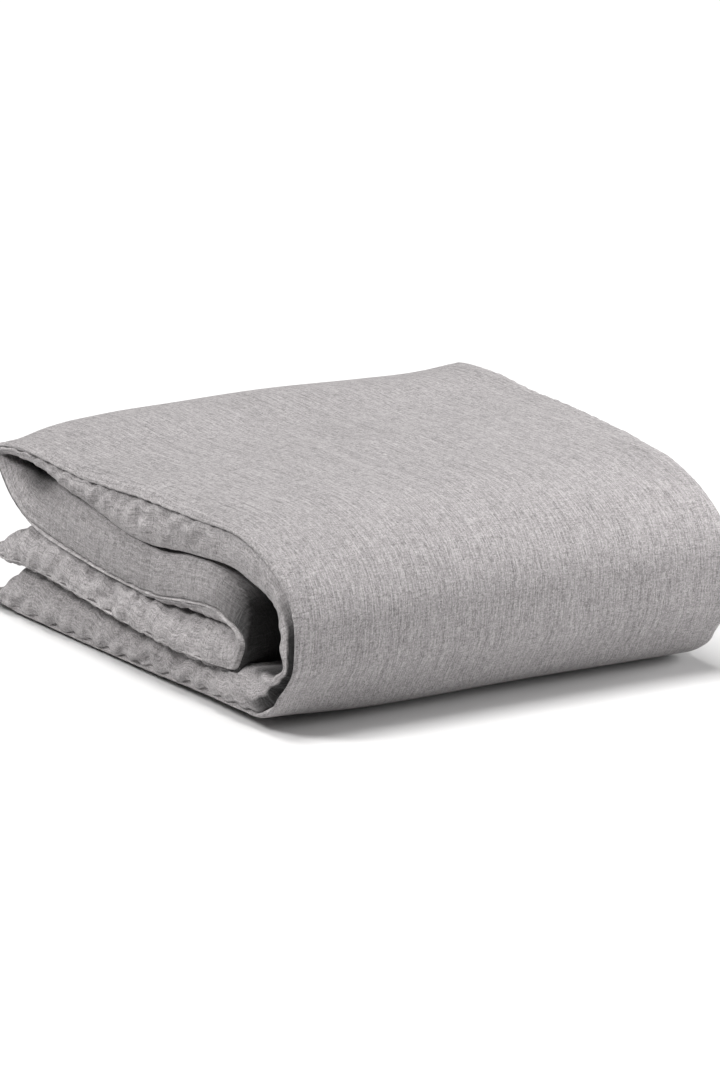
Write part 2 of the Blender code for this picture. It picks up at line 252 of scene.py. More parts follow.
def far_edge():
    share = smoothstep(CAD_LOW[0], CAD_HIGH[0] - 0.03, course["seam"][:, 0])
    return FAR_Y_LEFT + (FAR_Y_FRONT - FAR_Y_LEFT) * share


def bezier(p0, p1, p2, p3, t):
    return (1 - t) ** 3 * p0 + 3 * t * (1 - t) ** 2 * p1 + 3 * t**2 * (1 - t) * p2 + t**3 * p3


def wall_rows(side, end):
    """The end wall of one panel, from the seam to where the panel lies flat, [course, row, xyz]."""
    start = course[side]
    other = course["back" if side == "face" else "face"]
    inward = other - start
    inward /= np.linalg.norm(inward, axis=1)[:, None]
    to_seam = course["seam"] - start
    wall = np.maximum(np.sum(to_seam * inward, axis=1), 0.0008)
    aside = to_seam - inward * wall[:, None]
    seam, out, turn = course["seam_out"], course[f"{side}_out"], course[f"{side}_in"]
    if end == "far":
        seam = seam * 0.5
    sign = -1 if end == "near" else 1
    edge = np.full(course["count"], NEAR_Y) if end == "near" else far_edge()
    rows = []
    crisp = within(*BEND_STRIP, 1.5) if side == "back" else np.zeros(course["count"])
    for t in np.linspace(0, 1, WALL_ROWS) ** WALL_BIAS:
        y = bezier(seam, seam + (1.6 - 0.9 * crisp) * out, (0.55 + 0.35 * crisp) * out, -turn, t)
        first_depth = wall - np.minimum(0.08 * wall, SEAM_GAP) - 0.009 * crisp
        depth = bezier(wall - SEAM_GAP * crisp, first_depth, 0.20 * crisp * wall, 0 * wall, t)
        xz = start + inward * depth[:, None] + aside * (1 - t) ** 2
        rows.append(np.stack([xz[:, 0], edge + sign * y, xz[:, 1]], axis=1))
    return np.stack(rows, axis=1)


def full_grid(near, far):
    """Join the near and far walls of a panel with rows across the flat."""
    low, high = near[:, -1], far[:, -1]
    middle = [low + (high - low) * share for share in INNER_SHARES]
    return np.concatenate([near, np.stack(middle, axis=1), far[:, ::-1]], axis=1)


def grid_normals(grid):
    along = np.gradient(grid, axis=0)
    across = np.gradient(grid, axis=1)
    normal = np.cross(along, across)
    return normal / np.maximum(np.linalg.norm(normal, axis=2), 1e-12)[..., None]


def cloth_place(grid):
    """Each point's place in the unfolded cloth: along it, across it, and its distance from the seam."""
    along = np.linalg.norm(np.diff(grid, axis=0), axis=2).mean(axis=1)
    s = np.concatenate([[0], np.cumsum(along)])[:, None] * np.ones(grid.shape[1])
    sideways = np.cumsum(np.linalg.norm(np.diff(grid, axis=1), axis=2), axis=1)
    across = np.concatenate([np.zeros((grid.shape[0], 1)), sideways], axis=1)
    from_seam = np.minimum(across, across[:, -1:] - across)
    return s, across, from_seam


# Height added across the width, as distances from the near edge and heights, in millimetres.
LEFT_LIFT = ([0, 18, 44, 111, 197, 281, 398, 455, 515], [0, 1, 7, 12, 12, 12, 7, 5, 7])
FIRST_LIFT = ([0, 30, 90, 200, 330, 430, 480, 515], [0, 4, 8, 9, 9, 9, 9, 9])
FRONT_LIFT = ([0, 60, 150, 300, 420, 515], [0, 2, 4, 3, 0, -2])
CORNER_CURL, LEFT_BULGE, NOSE_RETREAT = 0.006, 0.004, 0.016
# The strip at the front bend's near end is uneven: height in metres, station and reach of each kink.
STRIP_KINKS = [(0.006, 36.9, 0.45), (-0.004, 35.7, 0.45), (0.004, 38.6, 0.5), (-0.003, 34.5, 0.4)]


def across_lift(lift, y):
    """Height to add across the width, from (distance from the near edge, height) in millimetres."""
    at, height = np.array(lift) / 1000
    slopes = np.gradient(height, at)
    k = np.clip(np.searchsorted(at, y, side="right") - 1, 0, len(at) - 2)
    span = at[k + 1] - at[k]
    t = np.clip((y - at[k]) / span, 0, 1)
    return ((2 * t**3 - 3 * t**2 + 1) * height[k] + (t**3 - 2 * t**2 + t) * span * slopes[k]
            + (3 * t**2 - 2 * t**3) * height[k + 1] + (t**3 - t**2) * span * slopes[k + 1])


def dome_grid(side, grid):
    """Raise the middle of the first layer, round out the left fold and curl the front bend's near corner."""
    y = np.clip(grid[..., 1] - NEAR_Y, 0, FULL_WIDTH)
    left = within(22.5, 26.5, 1.6)[:, None]
    front = within(30.5, 35, 2.0)[:, None]
    first = within(24.5, 33.5, 3.0)[:, None] * (1 - left) * (1 - front)
    corner = within(38, 44, 1.5)[:, None]
    amount = 1.0 if side == "face" else 0.25
    lift = sum(across_lift(table, y) * where
               for table, where in ((FIRST_LIFT, first), (LEFT_LIFT, left), (FRONT_LIFT, front)))
    grid[..., 2] += amount * lift + CORNER_CURL * corner * np.exp(-((y / 0.07) ** 2))
    grid[..., 0] -= amount * LEFT_BULGE * left * np.sin(math.pi * y / FULL_WIDTH)
    to_far = np.clip(far_edge()[:, None] - grid[..., 1], 0, 1)
    hidden = (1 - np.exp(-y / 0.05)) * (1 - np.exp(-to_far / 0.05))
    if side == "back":
        kinks = sum(height * hump(course["station"], at, reach) for height, at, reach in STRIP_KINKS)
        toward = course["face"] - course["back"]
        toward /= np.linalg.norm(toward, axis=1)[:, None]
        share = np.clip(np.arange(grid.shape[1]) / WALL_ROWS, 0, 1) * np.exp(-y / 0.03)
        grid[..., 0] += toward[:, :1] * kinks[:, None] * share
        grid[..., 2] += toward[:, 1:] * kinks[:, None] * share
        grid[..., 0] -= NOSE_RETREAT * hidden * within(9.5, 13, 1.5)[:, None]
    return grid


def tip_pull(grid):
    """Let the two free ends run a little uneven, and pull in between their corners."""
    y = grid[..., 1]
    share = np.clip((y - NEAR_Y) / (FAR_Y_LEFT - NEAR_Y), 0, 1)
    station = course["station"][:, None]
    third = 1 - smoothstep(0, 4, station)
    fourth = smoothstep(len(COURSE) - 5, len(COURSE) - 1, station)
    grid[..., 0] += 0.007 * third * np.sin(math.pi * share) + 0.003 * third * np.sin(5 * math.pi * share)
    grid[..., 0] += 0.010 * fourth * np.sin(math.pi * share) + 0.003 * fourth * np.sin(4 * math.pi * share)
    return grid


# How strongly each panel is gathered between these stations: third layer, inner bend, second layer,
# left fold, first layer, front bend, fourth layer.
PUCKER_SPANS = [(0, 8), (9, 12), (13, 19), (20, 23), (24, 31), (32, 40), (41, 49)]
PUCKER = {
    "face": np.array([1.0, 0.5, 0.5, 0.2, 0.25, 0.1, 0.2]),
    "back": np.array([0.6, 0.4, 0.35, 0.35, 0.90, 0.7, 1.1]),
}
FINE_GATHER, BROAD_GATHER = 0.0062, 0.0036
PUCKER_MARGIN = 8
TALL_WALL = 0.045


def gathered(side):
    """How strongly the panel is gathered, at each step of the course."""
    return PUCKER[side] @ np.array([within(*span) for span in PUCKER_SPANS])


def pucker(side, grid, seed):
    """Gathers that run in from the seam, deepest where the wall is tall and slack."""
    rows = WALL_ROWS + PUCKER_MARGIN
    s, _, from_seam = cloth_place(grid[:, :rows])
    wall_length = from_seam_length(grid)
    height = np.clip(wall_length / TALL_WALL, 0.15, 1)[:, None]
    v = np.clip(from_seam / np.maximum(wall_length, 0.006)[:, None], 0, 1.6)
    skew = 0.016 * noise(s, from_seam, 0.07, 0.03, seed) + 0.35 * (from_seam - 0.02)
    fine = noise(s + skew, from_seam, 0.020, 0.030, seed + 1)
    broad = noise(s + skew, from_seam, 0.042, 0.036, seed + 2)
    where = 0.15 + 0.85 * smoothstep(-0.3, 0.7, noise(s, from_seam, 0.09, 0.03, seed + 3))
    valley = -(np.maximum(0, 1 - np.abs(fine) / 0.30) ** 1.5) + 0.25
    profile = np.sin(math.pi * np.clip(v / 1.04, 0, 1)) ** 0.8
    depth = FINE_GATHER * where * valley + BROAD_GATHER * broad
    push = gathered(side)[:, None] * height * profile * depth
    return push[..., None] * grid_normals(grid)[:, :rows]


def from_seam_length(grid):
    return np.sum(np.linalg.norm(np.diff(grid[:, :WALL_ROWS], axis=1), axis=2), axis=1)


def add_mesh(name, points, faces):
    mesh = bpy.data.meshes.new(name)
    mesh.from_pydata(np.asarray(points).reshape(-1, 3).tolist(), [], [list(map(int, f)) for f in faces])
    mesh.polygons.foreach_set("use_smooth", [True] * len(mesh.polygons))
    mesh.update()
    made = bpy.data.objects.new(name, mesh)
    bpy.context.collection.objects.link(made)
    return made


def grid_faces(rows, columns, closed=False, flip=False):
    index = np.arange(rows * columns).reshape(rows, columns)
    if closed:
        index = np.concatenate([index, index[:, :1]], axis=1)
    quads = np.stack([index[:-1, :-1], index[:-1, 1:], index[1:, 1:], index[1:, :-1]], axis=-1).reshape(-1, 4)
    return quads[:, ::-1] if flip else quads


# The cloth simulation: how much longer the cloth is than its seam, the number of rounds, how each round
# slows and pulls home, and how far a point may move in all.
GROWTH_ALONG, GROWTH_ACROSS = 0.050, 0.040
ROUNDS, SUBSTEPS = 140, 2
KEPT_SPEED, PULL_HOME, BILLOW, CAP = 0.9, 0.012, 0.000008, 0.006
LINKS = ((1, 1.0), (2, 0.30), (4, 0.10))
# The first layer's end wall keeps its lower edge straight: the simulation fades out sooner there.
FIRST_WALL = (24, 33)
STRIP_ROWS = WALL_ROWS + 10


def pull_pairs(points, free, first, second, rest, stiffness):
    """Move both ends of each pair of points towards their rest distance, as far as each is free."""
    a, b = points[first], points[second]
    gap = b - a
    length = np.maximum(np.linalg.norm(gap, axis=2), 1e-9)
    free_a, free_b = free[first], free[second]
    total = np.maximum(free_a + free_b, 1e-6)
    step = (stiffness * (length - rest) / (length * total))[..., None] * gap
    points[first] = a + step * free_a[..., None]
    points[second] = b - step * free_b[..., None]


def settle(strip, free, growth, outwards):
    """Cloth simulation of one edge strip: longer than its pinned lines, it gathers until it is at rest."""
    points, home = strip.copy(), strip.copy()
    before = strip.copy()
    rows, columns = strip.shape[:2]
    links = []
    for reach, stiffness in LINKS:
        for axis, stretch in ((0, GROWTH_ALONG), (1, GROWTH_ACROSS)):
            count = strip.shape[axis] - reach
            for start in range(2 * reach):
                chosen = np.arange(start, count, 2 * reach)
                first = (chosen, slice(None)) if axis == 0 else (slice(None), chosen)
                second = (first[0] + reach, slice(None)) if axis == 0 else (slice(None), first[1] + reach)
                rest = np.linalg.norm(strip[second] - strip[first], axis=2)
                rest = rest * (1 + stretch * growth[first])
                links.append((first, second, rest, stiffness))
    for _ in range(ROUNDS):
        speed = KEPT_SPEED * (points - before)
        before = points.copy()
        push = outwards * grid_normals(points) * BILLOW
        points = points + free[..., None] * (speed + push) + PULL_HOME * free[..., None] * (home - points)
        for _ in range(SUBSTEPS):
            for first, second, rest, stiffness in links:
                pull_pairs(points, free, first, second, rest, stiffness)
    moved = points - home
    far = np.linalg.norm(moved, axis=2, keepdims=True)
    return moved * np.minimum(1, CAP / np.maximum(far, 1e-9))


def settled_edges(side, grid):
    """Simulate both edge strips of a panel, and lay the result back into its grid."""
    amount = np.clip(gathered(side), 0, 1.2)
    for end in ("near", "far"):
        strip = grid[:, :STRIP_ROWS] if end == "near" else grid[:, ::-1][:, :STRIP_ROWS]
        past_wall = np.arange(STRIP_ROWS)[None, :] - WALL_ROWS
        sooner = 7 * within(*FIRST_WALL, 1.0)[:, None] * (side == "back")
        free = 1 - np.clip((past_wall + 5 + sooner) / 10, 0, 1)
        free[:, 0] = 0
        free[:2], free[-2:] = 0, 0
        growth = amount[:, None] * free
        sign = 1 if (end == "near") == (side == "face") else -1
        strip += settle(strip.copy(), free, growth, sign)
    return grid


# The ridge and the groove beside each seam: height, distance from the seam and reach.
RIDGE, GROOVE = (0.0013, 0.0044, 0.0017), (0.0007, 0.0074, 0.0012)
BACK_RIDGE_SHARE = 0.7
CREASE_DEPTH, CROSS_CREASE_DEPTH = 0.0021, 0.0010
CREASE_SEED = {"face": 300, "back": 340}


def seam_ridge(side, grid):
    """The turned seam allowance shows through as a low ridge beside each seam, with a groove past it."""
    _, _, from_seam = cloth_place(grid)
    height = RIDGE[0] * hump(from_seam, *RIDGE[1:]) - GROOVE[0] * hump(from_seam, *GROOVE[1:])
    return grid + (height if side == "face" else height * BACK_RIDGE_SHARE)[..., None] * outward(side, grid)


def creased(side, grid):
    """Sharp little creases near the seams, that washing leaves in the gathers."""
    s, across, from_seam = cloth_place(grid)
    seed = CREASE_SEED[side]
    lean = s + 0.5 * from_seam + 0.012 * noise(s, across, 0.05, 0.03, seed)
    sharp = np.maximum(0, 1 - np.abs(noise(lean, across, 0.016, 0.030, seed + 1)) / 0.35)
    crossing = np.maximum(0, 1 - np.abs(noise(s, across, 0.030, 0.022, seed + 2)) / 0.25)
    where = smoothstep(-0.1, 0.6, noise(s, across, 0.06, 0.03, seed + 3))
    amount = np.clip(gathered(side), 0, 1)[:, None]
    reach = smoothstep(0.001, 0.008, from_seam) * (1 - smoothstep(0.030, 0.062, from_seam))
    depth = amount * reach * (CREASE_DEPTH * where * sharp + CROSS_CREASE_DEPTH * crossing * (1 - where))
    return grid - depth[..., None] * outward(side, grid)


def outward(side, grid):
    normal = grid_normals(grid)
    return normal if side == "face" else -normal


# No drawn point lies higher than this before the simulation, to stay in the part's box.
TOP_LIMIT = 0.1962
GATHER_SEED = {"face": 20, "back": 60}


def make_grid(side):
    """The points of one panel: end walls, lifts, gathers, simulation, creases and a soft unevenness."""
    grid = full_grid(wall_rows(side, "near"), wall_rows(side, "far"))
    grid = tip_pull(dome_grid(side, grid))
    seed = GATHER_SEED[side]
    sign = 1 if side == "face" else -1
    rows = WALL_ROWS + PUCKER_MARGIN
    grid[:, :rows] += sign * pucker(side, grid, seed)
    mirrored = grid[:, ::-1]
    grid[:, -rows:] -= sign * pucker(side, mirrored, seed + 10)[:, ::-1]
    grid[..., 2] = np.minimum(grid[..., 2], TOP_LIMIT)
    grid = settled_edges(side, grid)
    grid = creased(side, seam_ridge(side, grid))
    s, across, from_seam = cloth_place(grid)
    soft = 0.0008 * noise(s, across, 0.11, 0.16, seed + 5) + 0.0004 * noise(s, across, 0.05, 0.08, seed + 6)
    return grid + (soft * smoothstep(0.0, 0.05, from_seam))[..., None] * outward(side, grid)


# ---- placing the pieces, their cloth coordinates and their smoothing -------------------------------------


def bend(piece):
    """Bake a piece's placement into its own points."""
    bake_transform(piece)


def set_cloth_place(piece, place):
    """Store where each point lies in the unfolded cloth, for the weave."""
    layer = piece.data.attributes.new("cloth", "FLOAT_VECTOR", "POINT")
    layer.data.foreach_set("vector", np.stack(place, axis=-1).astype(np.float32).ravel())


def subdivide(piece):
    modifier = piece.modifiers.new("smooth", "SUBSURF")
    modifier.levels = modifier.render_levels = 1


# ---- materials -------------------------------------------------------------------------------------------


class Nodes:
    """Short calls that add nodes to a material and link them."""

    def __init__(self, name):
        self.material = bpy.data.materials.new(name)
        self.material.use_nodes = True
        self.tree = self.material.node_tree
        self.shader = self.tree.nodes["Principled BSDF"]

    def add(self, kind, **settings):
        node = self.tree.nodes.new(kind)
        for key, value in settings.items():
            setattr(node, key, value)
        return node

    def put(self, socket, value):
        if isinstance(value, bpy.types.NodeSocket):
            self.tree.links.new(value, socket)
        else:
            socket.default_value = value

    def math(self, operation, a, b=0.0, c=0.0):
        node = self.add("ShaderNodeMath", operation=operation)
        for socket, value in zip(node.inputs, (a, b, c)):
            self.put(socket, value)
        return node.outputs[0]

    def place(self, scale):
        """The cloth's own coordinates, times scale along, across and from the seam."""
        source = self.add("ShaderNodeAttribute", attribute_name="cloth")
        node = self.add("ShaderNodeVectorMath", operation="MULTIPLY")
        self.put(node.inputs[0], source.outputs["Vector"])
        node.inputs[1].default_value = scale
        return node.outputs[0]

    def noise(self, scale, detail=2.0, roughness=0.5, vector=None):
        node = self.add("ShaderNodeTexNoise", noise_dimensions="3D")
        self.put(node.inputs["Vector"], vector or self.place(scale))
        node.inputs["Scale"].default_value = 1.0
        node.inputs["Detail"].default_value = detail
        node.inputs["Roughness"].default_value = roughness
        return node.outputs[0]

    def cells(self, scale):
        """One random value for each cell of the cloth, that is for each length of yarn."""
        snapped = self.add("ShaderNodeVectorMath", operation="FLOOR")
        self.put(snapped.inputs[0], self.place(scale))
        node = self.add("ShaderNodeTexWhiteNoise", noise_dimensions="3D")
        self.put(node.inputs["Vector"], snapped.outputs[0])
        return node.outputs["Value"]

    def ramp(self, value, low, high, to_low=0.0, to_high=1.0):
        node = self.add("ShaderNodeMapRange", interpolation_type="SMOOTHSTEP")
        for socket, number in zip(node.inputs, (value, low, high, to_low, to_high)):
            self.put(socket, number)
        return node.outputs[0]

    def swing(self, value, amount):
        """A 0 to 1 value as a swing of amount either side of 0."""
        return self.math("MULTIPLY", self.math("SUBTRACT", value, 0.5), amount)

    def shade(self, color, factor):
        node = self.add("ShaderNodeVectorMath", operation="SCALE")
        node.inputs[0].default_value = color
        self.put(node.inputs["Scale"], factor)
        return node.outputs[0]

    def bump(self, height, distance, strength=1.0, normal=None):
        node = self.add("ShaderNodeBump")
        node.inputs["Strength"].default_value = strength
        node.inputs["Distance"].default_value = distance
        self.put(node.inputs["Height"], height)
        if normal is not None:
            self.put(node.inputs["Normal"], normal)
        return node.outputs[0]


def weave_height(nodes, pitch):
    """Plain weave: over and under in both directions, a little uneven."""
    parts = nodes.add("ShaderNodeSeparateXYZ")
    nodes.put(parts.inputs[0], nodes.place((1, 1, 1)))
    wobble = nodes.swing(nodes.noise((260, 260, 0), 1.0), 2.4)
    turn = 2 * math.pi / pitch
    along = nodes.math("SINE", nodes.math("ADD", nodes.math("MULTIPLY", parts.outputs[0], turn), wobble))
    across = nodes.math("SINE", nodes.math("ADD", nodes.math("MULTIPLY", parts.outputs[1], turn), wobble))
    return nodes.math("MULTIPLY", along, across)


# Cells of yarn that differ a little in shade: how many for each metre along and across, and by how much.
YARN_CELLS = [((900, 900, 0), 0.44), ((150, 1000, 0), 0.36), ((1000, 230, 0), 0.20)]
WEAVE_PITCH = 0.0013


def linen(name, color, streaks=1.0, seam_painted_shade=0.22):
    """Washed linen: slubs both ways, more of them along the warp, heathered yarn, flecks and a soft sheen,
    with painted shade in the seams and in the hollows.
    """
    nodes = Nodes(name)
    warp = nodes.noise((9, 620, 0), 3.0, 0.6)
    band = nodes.noise((6, 260, 0), 2.0, 0.6)
    weft = nodes.noise((520, 14, 0), 3.0, 0.6)
    slub = nodes.ramp(nodes.noise((26, 1100, 0), 1.0), 0.62, 0.80)
    heather = nodes.noise((640, 980, 0), 2.0, 0.7)
    patch = nodes.noise((9, 9, 0), 3.0, 0.55)
    fleck = nodes.ramp(nodes.noise((240, 420, 0), 0.0), 0.80, 0.86)
    swings = [(warp, 0.95 * streaks), (band, 0.22 * streaks), (weft, 0.30), (heather, 0.6), (patch, 0.10)]
    swings += [(nodes.cells(scale), amount) for scale, amount in YARN_CELLS]
    factor = nodes.math("ADD", 1.0, nodes.math("MULTIPLY", slub, 0.06))
    for value, amount in swings:
        factor = nodes.math("ADD", factor, nodes.swing(value, amount))
    factor = nodes.math("SUBTRACT", factor, nodes.math("MULTIPLY", fleck, 0.34))
    parts = nodes.add("ShaderNodeSeparateXYZ")
    nodes.put(parts.inputs[0], nodes.place((1, 1, 1)))
    # Painted shade in the seams: within about two millimetres of each seam the colour is darkened, down to
    # the given share.
    painted_seam_shade = nodes.ramp(parts.outputs[2], 0.0003, 0.0022, seam_painted_shade, 1.0)
    factor = nodes.math("MULTIPLY", factor, painted_seam_shade)
    # Painted shade in the hollows: the colour is darkened by the amount stored on each point of the cloth.
    depth = nodes.add("ShaderNodeAttribute", attribute_name="painted_shade").outputs["Fac"]
    factor = nodes.math("MULTIPLY", factor, nodes.math("SUBTRACT", 1.0, depth))
    nodes.put(nodes.shader.inputs["Base Color"], nodes.shade(color, factor))
    nodes.shader.inputs["Sheen Weight"].default_value = 0.12
    nodes.shader.inputs["Sheen Roughness"].default_value = 0.5
    nodes.shader.inputs["Specular IOR Level"].default_value = 0.2
    nodes.put(nodes.shader.inputs["Roughness"], nodes.ramp(heather, 0.3, 0.7, 0.95, 0.86))
    crumple = nodes.math("ABSOLUTE", nodes.math("SUBTRACT", nodes.noise((95, 26, 0), 2.0, 0.5), 0.5))
    near_seam = nodes.ramp(parts.outputs[2], 0.030, 0.065, 1.0, 0.12)
    soft = nodes.bump(nodes.math("MULTIPLY", nodes.ramp(crumple, 0.0, 0.10), near_seam), 0.0008, 0.7)
    yarn = nodes.math("ADD", nodes.math("MULTIPLY", warp, 0.6), nodes.math("MULTIPLY", heather, 1.0))
    yarn = nodes.math("ADD", yarn, nodes.math("MULTIPLY", slub, 0.5))
    base = nodes.bump(yarn, 0.0006, 1.0, soft)
    weave = nodes.bump(weave_height(nodes, WEAVE_PITCH), 0.00012, 0.6, base)
    nodes.put(nodes.shader.inputs["Normal"], weave)
    return nodes.material


def plain_cloth(name, color, pitch=0.0009, sheen=0.05):
    """Close cotton: a fine even weave and a little unevenness."""
    nodes = Nodes(name)
    uneven = nodes.noise((60, 60, 0), 3.0, 0.6)
    fine = nodes.noise((900, 900, 0), 1.0)
    factor = nodes.math("ADD", 1.0, nodes.swing(uneven, 0.08))
    factor = nodes.math("ADD", factor, nodes.swing(fine, 0.10))
    nodes.put(nodes.shader.inputs["Base Color"], nodes.shade(color, factor))
    nodes.shader.inputs["Roughness"].default_value = 0.85
    nodes.shader.inputs["Sheen Weight"].default_value = sheen
    nodes.put(nodes.shader.inputs["Normal"], nodes.bump(weave_height(nodes, pitch), 0.0001, 0.5))
    return nodes.material


def shell_button(name):
    """Grey brown button: soft bands in the stuff and a satin surface."""
    nodes = Nodes(name)
    where = nodes.add("ShaderNodeTexCoord").outputs["Object"]
    scaled = nodes.add("ShaderNodeVectorMath", operation="MULTIPLY")
    nodes.put(scaled.inputs[0], where)
    scaled.inputs[1].default_value = (140, 500, 300)
    cloud = nodes.noise(None, 3.0, 0.6, vector=scaled.outputs[0])
    nodes.put(nodes.shader.inputs["Base Color"],
              nodes.shade((0.19, 0.15, 0.12), nodes.math("ADD", 1.0, nodes.swing(cloud, 0.6))))
    nodes.shader.inputs["Roughness"].default_value = 0.38
    nodes.put(nodes.shader.inputs["Normal"], nodes.bump(cloud, 0.0002, 0.3))
    return nodes.material


LINEN = linen("linen", (0.288, 0.275, 0.277))
# The lips' linen is the same linen painted a little lighter, as painted light on the lips, with weaker
# streaks and no painted shade in the seams.
PAINTED_LIGHT_SEAM_LINEN = linen("seam_linen", (0.300, 0.287, 0.288), 0.5, 1.0)
CASING = plain_cloth("cotton_casing", (0.80, 0.79, 0.76))
FILLING = plain_cloth("filling", (0.88, 0.87, 0.84), 0.004, 0.2)
TAPE = plain_cloth("cotton_tape", (0.72, 0.70, 0.66), 0.0012)
BUTTON = shell_button("button")

# ---- the cover -------------------------------------------------------------------------------------------

# The darkest painted shade, as the share of the colour taken away.
DEEPEST_PAINTED_SHADE = 0.96


def set_painted_shade(piece, amount):
    """How much painted shade darkens the cloth at each point: 0 leaves it as it is."""
    layer = piece.data.attributes.new("painted_shade", "FLOAT", "POINT")
    layer.data.foreach_set("value", np.ascontiguousarray(amount, dtype=np.float32).ravel())


def painted_hollow_shade(from_seam):
    """Painted shade, at most the darkest share set above, in the bends' hollows and in the front bend's
    groove; the second layer's wall gets a little painted shade too.
    """
    inner = 0.93 * within(33, 40.5, 1.2)[:, None] * smoothstep(0.034, 0.046, from_seam)
    groove = DEEPEST_PAINTED_SHADE * within(34.5, 41.2, 1.0)[:, None] * (1 - smoothstep(0.0175, 0.0200, from_seam))
    nose = 0.90 * within(7.5, 13.3, 1.3)[:, None]
    left = 0.90 * within(19.5, 24.3, 1.0)[:, None] * smoothstep(0.018, 0.050, from_seam)
    second = 0.12 * within(13, 20, 1.0)[:, None]
    return np.clip(inner + groove + nose + left + second, 0, DEEPEST_PAINTED_SHADE)


def make_panel(side):
    grid = make_grid(side)
    piece = add_mesh(f"cover_{side}_panel", grid, grid_faces(*grid.shape[:2], flip=side == "back"))
    s, across, from_seam = cloth_place(grid)
    # The back panel carries painted shade in the bends' hollows, beside the front bend's seam and on the
    # second layer's wall.
    if side == "back":
        set_painted_shade(piece, painted_hollow_shade(from_seam))
    set_cloth_place(piece, (s, across, from_seam))
    piece.data.materials.append(LINEN)
    bend(piece)
    subdivide(piece)
    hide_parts(*[f"{layer}_cover_{side}" for layer in LAYERS])
    return piece, grid


# A lip starts this far inside its seam; its cloth is this wide.
LIP_ROOT, LIP_CLOTH = 0.003, 0.004


def lip_section(count=10):
    """A flat rounded section of unit size, as its points' out and through, where out runs from 0 to 1."""
    angles = np.linspace(0, 2 * math.pi, count, endpoint=False)
    out = 0.5 + 0.5 * np.sign(np.cos(angles)) * np.abs(np.cos(angles)) ** 0.6
    through = 0.5 * np.sign(np.sin(angles)) * np.abs(np.sin(angles)) ** 0.8
    return out, through


def closed_tube(points):
    """Faces of a closed tube whose rings are the rows of points, with a face over either end."""
    rows, columns = points.shape[:2]
    faces = [list(f) for f in grid_faces(rows, columns, closed=True)]
    last = (rows - 1) * columns
    return faces, list(range(columns)), [last + k for k in range(columns)]


def swept_lip(name, line, out, through, widths, thickness):
    """A sewn lip along line; out and through are unit vectors at each point, widths its reach outwards."""
    section_out, section_through = lip_section()
    reach = section_out * (widths[:, None] + LIP_ROOT) - LIP_ROOT
    points = line[:, None] + out[:, None] * reach[..., None]
    points = points + through[:, None] * (section_through * thickness)[None, :, None]
    faces, first_end, last_end = closed_tube(points)
    piece = add_mesh(name, points, [*faces, first_end, last_end[::-1]])
    run = np.concatenate([[0], np.cumsum(np.linalg.norm(np.diff(line, axis=0), axis=1))])
    flat = np.ones(reach.shape)
    place = (run[:, None] * flat, LIP_CLOTH * section_out * flat, 0 * flat)
    set_cloth_place(piece, place)
    piece.data.materials.append(PAINTED_LIGHT_SEAM_LINEN)
    return piece, points


# How far a side seam's lip shows: everywhere, and more between these stations (width, from, to, softness).
LIP_EVERYWHERE = 0.0006
LIP_SHOWS = [(0.0046, 0, 20, 1.5), (0.0012, 8.5, 12.5, 1.0), (0.0016, 42, 49, 1.5)]
LIP_LEAN, LIP_THICKNESS = 0.25, 0.0022


def side_lip(end):
    """The lip of a side seam. It shows most at the second and third layers and round the inner bend."""
    column = 0 if end == "near" else -1
    line = 0.5 * (grids["face"][:, column] + grids["back"][:, column])
    sign = -1.0 if end == "near" else 1.0
    shows = LIP_EVERYWHERE + sum(width * within(*span) for width, *span in LIP_SHOWS)
    along = np.gradient(line, axis=0)
    along /= np.linalg.norm(along, axis=1)[:, None]
    out = np.zeros_like(line)
    out[:, 1] = sign
    lean = course["face"] - course["back"]
    lean /= np.linalg.norm(lean, axis=1)[:, None]
    out[:, 0] += LIP_LEAN * lean[:, 0]
    out[:, 2] += LIP_LEAN * lean[:, 1]
    out /= np.linalg.norm(out, axis=1)[:, None]
    through = np.cross(along, out)
    line[:, 1] -= sign * LIP_EVERYWHERE
    piece, points = swept_lip(f"{end}_side_seam", line, out, through, shows, LIP_THICKNESS)
    bend(piece)
    subdivide(piece)
    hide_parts(*[f"{layer}_{end}_seam" for layer in LAYERS])
    return piece


def end_lip(name, node, row, thickness):
    """The lip along one free end of the cover, at the first or the last row of its grids."""
    line = 0.5 * (grids["face"][row] + grids["back"][row])
    out = np.zeros_like(line)
    out[:, 0] = -1.0
    along = np.gradient(line, axis=0)
    along /= np.linalg.norm(along, axis=1)[:, None]
    through = np.cross(along, out)
    widths = np.full(len(line), LIP_CLOTH)
    piece, _ = swept_lip(name, line, out, through, widths, thickness)
    subdivide(piece)
    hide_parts(node)
    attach(piece, "lower_half")
    return piece


# The duvet ends this many rows before the cover's free ends and lies this many points inside its walls. It
# keeps clear of the inner bend, and is drawn in along channels that are QUILT_PITCH apart.
END_ROWS, SIDE_POINTS = 9, WALL_ROWS + 2
DEEPER_AT_NOSE, MOST_INSET = 3, 0.40
QUILT_PITCH, QUILT_DEPTH, QUILT_WIDTH = 0.26, 0.16, 0.10


def inset_ring(inset):
    """A closed band inside the cover: between its two panels, and inset from both."""
    kept = (slice(END_ROWS, -END_ROWS), slice(SIDE_POINTS, -SIDE_POINTS))
    face, back = grids["face"][kept], grids["back"][kept]
    gap = np.linalg.norm(back - face, axis=2)
    deeper = 1 + DEEPER_AT_NOSE * within(7.5, 13, 1.0)[END_ROWS:-END_ROWS, None]
    share = np.minimum(deeper * inset / np.maximum(gap, 1e-6), MOST_INSET)[..., None]
    upper, lower = face + (back - face) * share, back + (face - back) * share
    column = np.arange(face.shape[1])
    rim = 0.8 * np.exp(-np.minimum(column, column[::-1]) / 1.2)[None, :, None]
    middle = 0.5 * (upper + lower)
    upper, lower = upper + (middle - upper) * rim, lower + (middle - lower) * rim
    return np.concatenate([upper, lower[:, -2:0:-1]], axis=1), face.shape[1], middle


